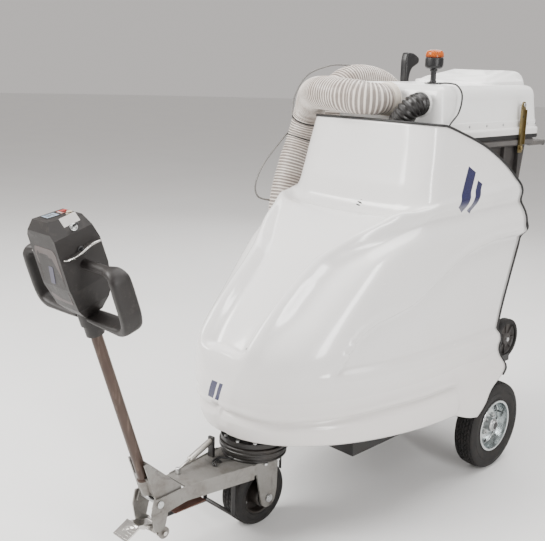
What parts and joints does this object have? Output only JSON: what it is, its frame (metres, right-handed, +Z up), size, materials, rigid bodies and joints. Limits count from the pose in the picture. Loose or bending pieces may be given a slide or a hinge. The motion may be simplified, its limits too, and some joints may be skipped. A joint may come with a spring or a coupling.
{
  "type": "ride on sweeper",
  "caption": "Walk-along electric litter vacuum: tiller-steered drive wheel, white body shell, wheeled waste bin under a hinged suction lid, hand wand and clear suction hose.",
  "frame": {"origin": "on the ground under the middle of the machine, halfway along its length", "axes": "+Z up, -Y forward towards the tiller, +X the machine's left"},
  "size_m": [1.0208, 2.456, 1.826],
  "materials": {
    "battery_grey": "moulded case",
    "beacon_amber": "clear amber moulding",
    "beacon_black": "satin",
    "bin_grey": "granular polyethylene",
    "bin_wheel_black": "solid rubber on a plastic hub",
    "black_rubber": "matt extruded edging",
    "bright_steel": "polished, fine scratches",
    "button_beige": "satin",
    "button_red": "satin",
    "cable_grey": "smooth jacket",
    "cast_black": "oiled black casting",
    "cuff_cream": "satin moulded ring",
    "display_blue": "glossy lens over a grey panel",
    "fan_grey": "grey enamel",
    "frame_black": "black powder coat",
    "galvanised": "mottled zinc plate, rubbed",
    "gasket_black": "closed foam strip",
    "head_plastic": "fine textured",
    "hose_black": "corrugated, wire ribbed",
    "hose_clear": "clear film on a wire helix",
    "impeller_alu": "cast, machined edges",
    "latch_brass": "yellow zinc passivated, dull",
    "lid_white": "glossy moulding",
    "motor_grey": "cast, ribbed",
    "rim_zinc": "zinc-plated pressed steel, scuffed",
    "shell_white": "glossy moulded fibreglass, lightly dusty",
    "tiller_brown": "dark brown lacquer over steel",
    "tyre_black": "block tread, dusty",
    "wand_black": "satin",
    "zinc": "zinc plated, dull"
  },
  "bodies": {
    "chassis": {"main_frame": "frame_black", "body_shell": "shell_white", "shell_trim": "black_rubber", "rear_axle": "frame_black", "bin_deck": "frame_black", "battery_tray": "frame_black", "battery_pack": "battery_grey", "fan_housing": "fan_grey", "fan_motor": "motor_grey", "lid_frame": "frame_black", "lid_hinge_pin": "zinc", "ground_strap": "black_rubber", "frame_bolts": "zinc", "turntable_upper": "cast_black", "wand_tube": "wand_black", "wand_grip": "wand_black", "wand_holder": "frame_black", "suction_hose": "hose_clear", "fan_hose": "hose_black", "control_cable": "cable_grey", "beacon_cable": "black_rubber"},
    "fan_rotor": {"fan_impeller": "impeller_alu"},
    "steering": {"turntable_lower": "cast_black", "steering_bracket": "galvanised", "drive_axle": "zinc", "front_guard": "frame_black", "gas_spring": "bright_steel", "tiller_pivot_pin": "zinc"},
    "drive_wheel": {"drive_tyre": "tyre_black", "drive_hub": "cast_black"},
    "tiller": {"tiller_foot": "galvanised", "tiller_tube": "tiller_brown", "head_housing": "head_plastic", "handle_left": "head_plastic", "handle_right": "head_plastic", "display_panel": "display_blue"},
    "throttle": {"throttle_butterfly": "bright_steel"},
    "key": {"key_switch": "head_plastic"},
    "stop": {"stop_button": "button_red"},
    "horn": {"horn_button": "button_beige"},
    "pedal": {"foot_pedal": "bright_steel"},
    "rear_wheel_left": {"rear_tyre_left": "tyre_black", "rear_rim_left": "rim_zinc", "rear_hub_left": "zinc"},
    "rear_wheel_right": {"rear_tyre_right": "tyre_black", "rear_rim_right": "rim_zinc", "rear_hub_right": "zinc"},
    "lid": {"lid_shell": "lid_white", "lid_gasket": "gasket_black", "inlet_cuff": "cuff_cream", "fan_cuff": "cuff_cream", "beacon_post": "beacon_black", "beacon_base": "beacon_black", "beacon_lens": "beacon_amber"},
    "latch_l": {"latch_left": "latch_brass"},
    "latch_r": {"latch_right": "latch_brass"},
    "bin": {"bin_body": "bin_grey", "bin_axle": "zinc"},
    "bin_wheel_l": {"bin_wheel_left": "bin_wheel_black"},
    "bin_wheel_r": {"bin_wheel_right": "bin_wheel_black"}
  },
  "joints": [
    {"name": "steer", "type": "hinge", "parent": "chassis", "child": "steering", "pos_m": [0, -0.345, 0.3], "axis": [0, 0, 1], "range_deg": [-75, 75]},
    {"name": "drive_spin", "type": "hinge", "parent": "steering", "child": "drive_wheel", "pos_m": [0, -0.345, 0.13], "axis": [1, 0, 0], "continuous": true},
    {"name": "tiller_tilt", "type": "hinge", "parent": "steering", "child": "tiller", "pos_m": [0, -0.842, 0.276], "axis": [1, 0, 0], "range_deg": [0, 50], "stiffness_Nm_per_rad": 60, "springref_deg": -45.84},
    {"name": "throttle_turn", "type": "hinge", "parent": "tiller", "child": "throttle", "pos_m": [0, -1.13655, 1.21593], "axis": [1, 0, 0], "range_deg": [-25, 25], "stiffness_Nm_per_rad": 0.6},
    {"name": "key_turn", "type": "hinge", "parent": "tiller", "child": "key", "pos_m": [0.0669, -1.15206, 1.28547], "axis": [0.8192, -0.1715, 0.5472], "range_deg": [0, 90]},
    {"name": "stop_press", "type": "slide", "parent": "tiller", "child": "stop", "axis": [0, 0.1586, -0.9873], "range_m": [0, 0.004], "stiffness_N_per_m": 900, "springref_m": -0.002},
    {"name": "horn_press", "type": "slide", "parent": "tiller", "child": "horn", "axis": [0, 0.1586, -0.9873], "range_m": [0, 0.004], "stiffness_N_per_m": 600, "springref_m": -0.002},
    {"name": "pedal_press", "type": "hinge", "parent": "steering", "child": "pedal", "pos_m": [0, -0.825, 0.16], "axis": [1, 0, 0], "range_deg": [0, 12], "stiffness_Nm_per_rad": 20, "springref_deg": -22.92},
    {"name": "left_wheel_spin", "type": "hinge", "parent": "chassis", "child": "rear_wheel_left", "pos_m": [0.353, 0.775, 0.2], "axis": [1, 0, 0], "continuous": true},
    {"name": "right_wheel_spin", "type": "hinge", "parent": "chassis", "child": "rear_wheel_right", "pos_m": [-0.353, 0.775, 0.2], "axis": [1, 0, 0], "continuous": true},
    {"name": "lid_open", "type": "hinge", "parent": "chassis", "child": "lid", "pos_m": [0, 0.357, 1.492], "axis": [1, 0, 0], "range_deg": [0, 35], "deforming": ["suction_hose", "fan_hose", "beacon_cable"]},
    {"name": "left_latch_turn", "type": "hinge", "parent": "lid", "child": "latch_l", "pos_m": [0.29, 0.947, 1.61], "axis": [1, 0, 0], "range_deg": [0, 70]},
    {"name": "right_latch_turn", "type": "hinge", "parent": "lid", "child": "latch_r", "pos_m": [-0.29, 0.947, 1.61], "axis": [1, 0, 0], "range_deg": [0, 70]},
    {"name": "bin_slide", "type": "slide", "parent": "chassis", "child": "bin", "axis": [0, 1, 0], "range_m": [0, 0.15]},
    {"name": "left_bin_wheel_spin", "type": "hinge", "parent": "bin", "child": "bin_wheel_l", "pos_m": [0.283, 0.984, 0.5393], "axis": [1, 0, 0], "continuous": true},
    {"name": "right_bin_wheel_spin", "type": "hinge", "parent": "bin", "child": "bin_wheel_r", "pos_m": [-0.283, 0.984, 0.5393], "axis": [1, 0, 0], "continuous": true},
    {"name": "fan_spin", "type": "hinge", "parent": "chassis", "child": "fan_rotor", "pos_m": [0, 0.04, 0.85], "axis": [0, 0, 1], "continuous": true}
  ]
}
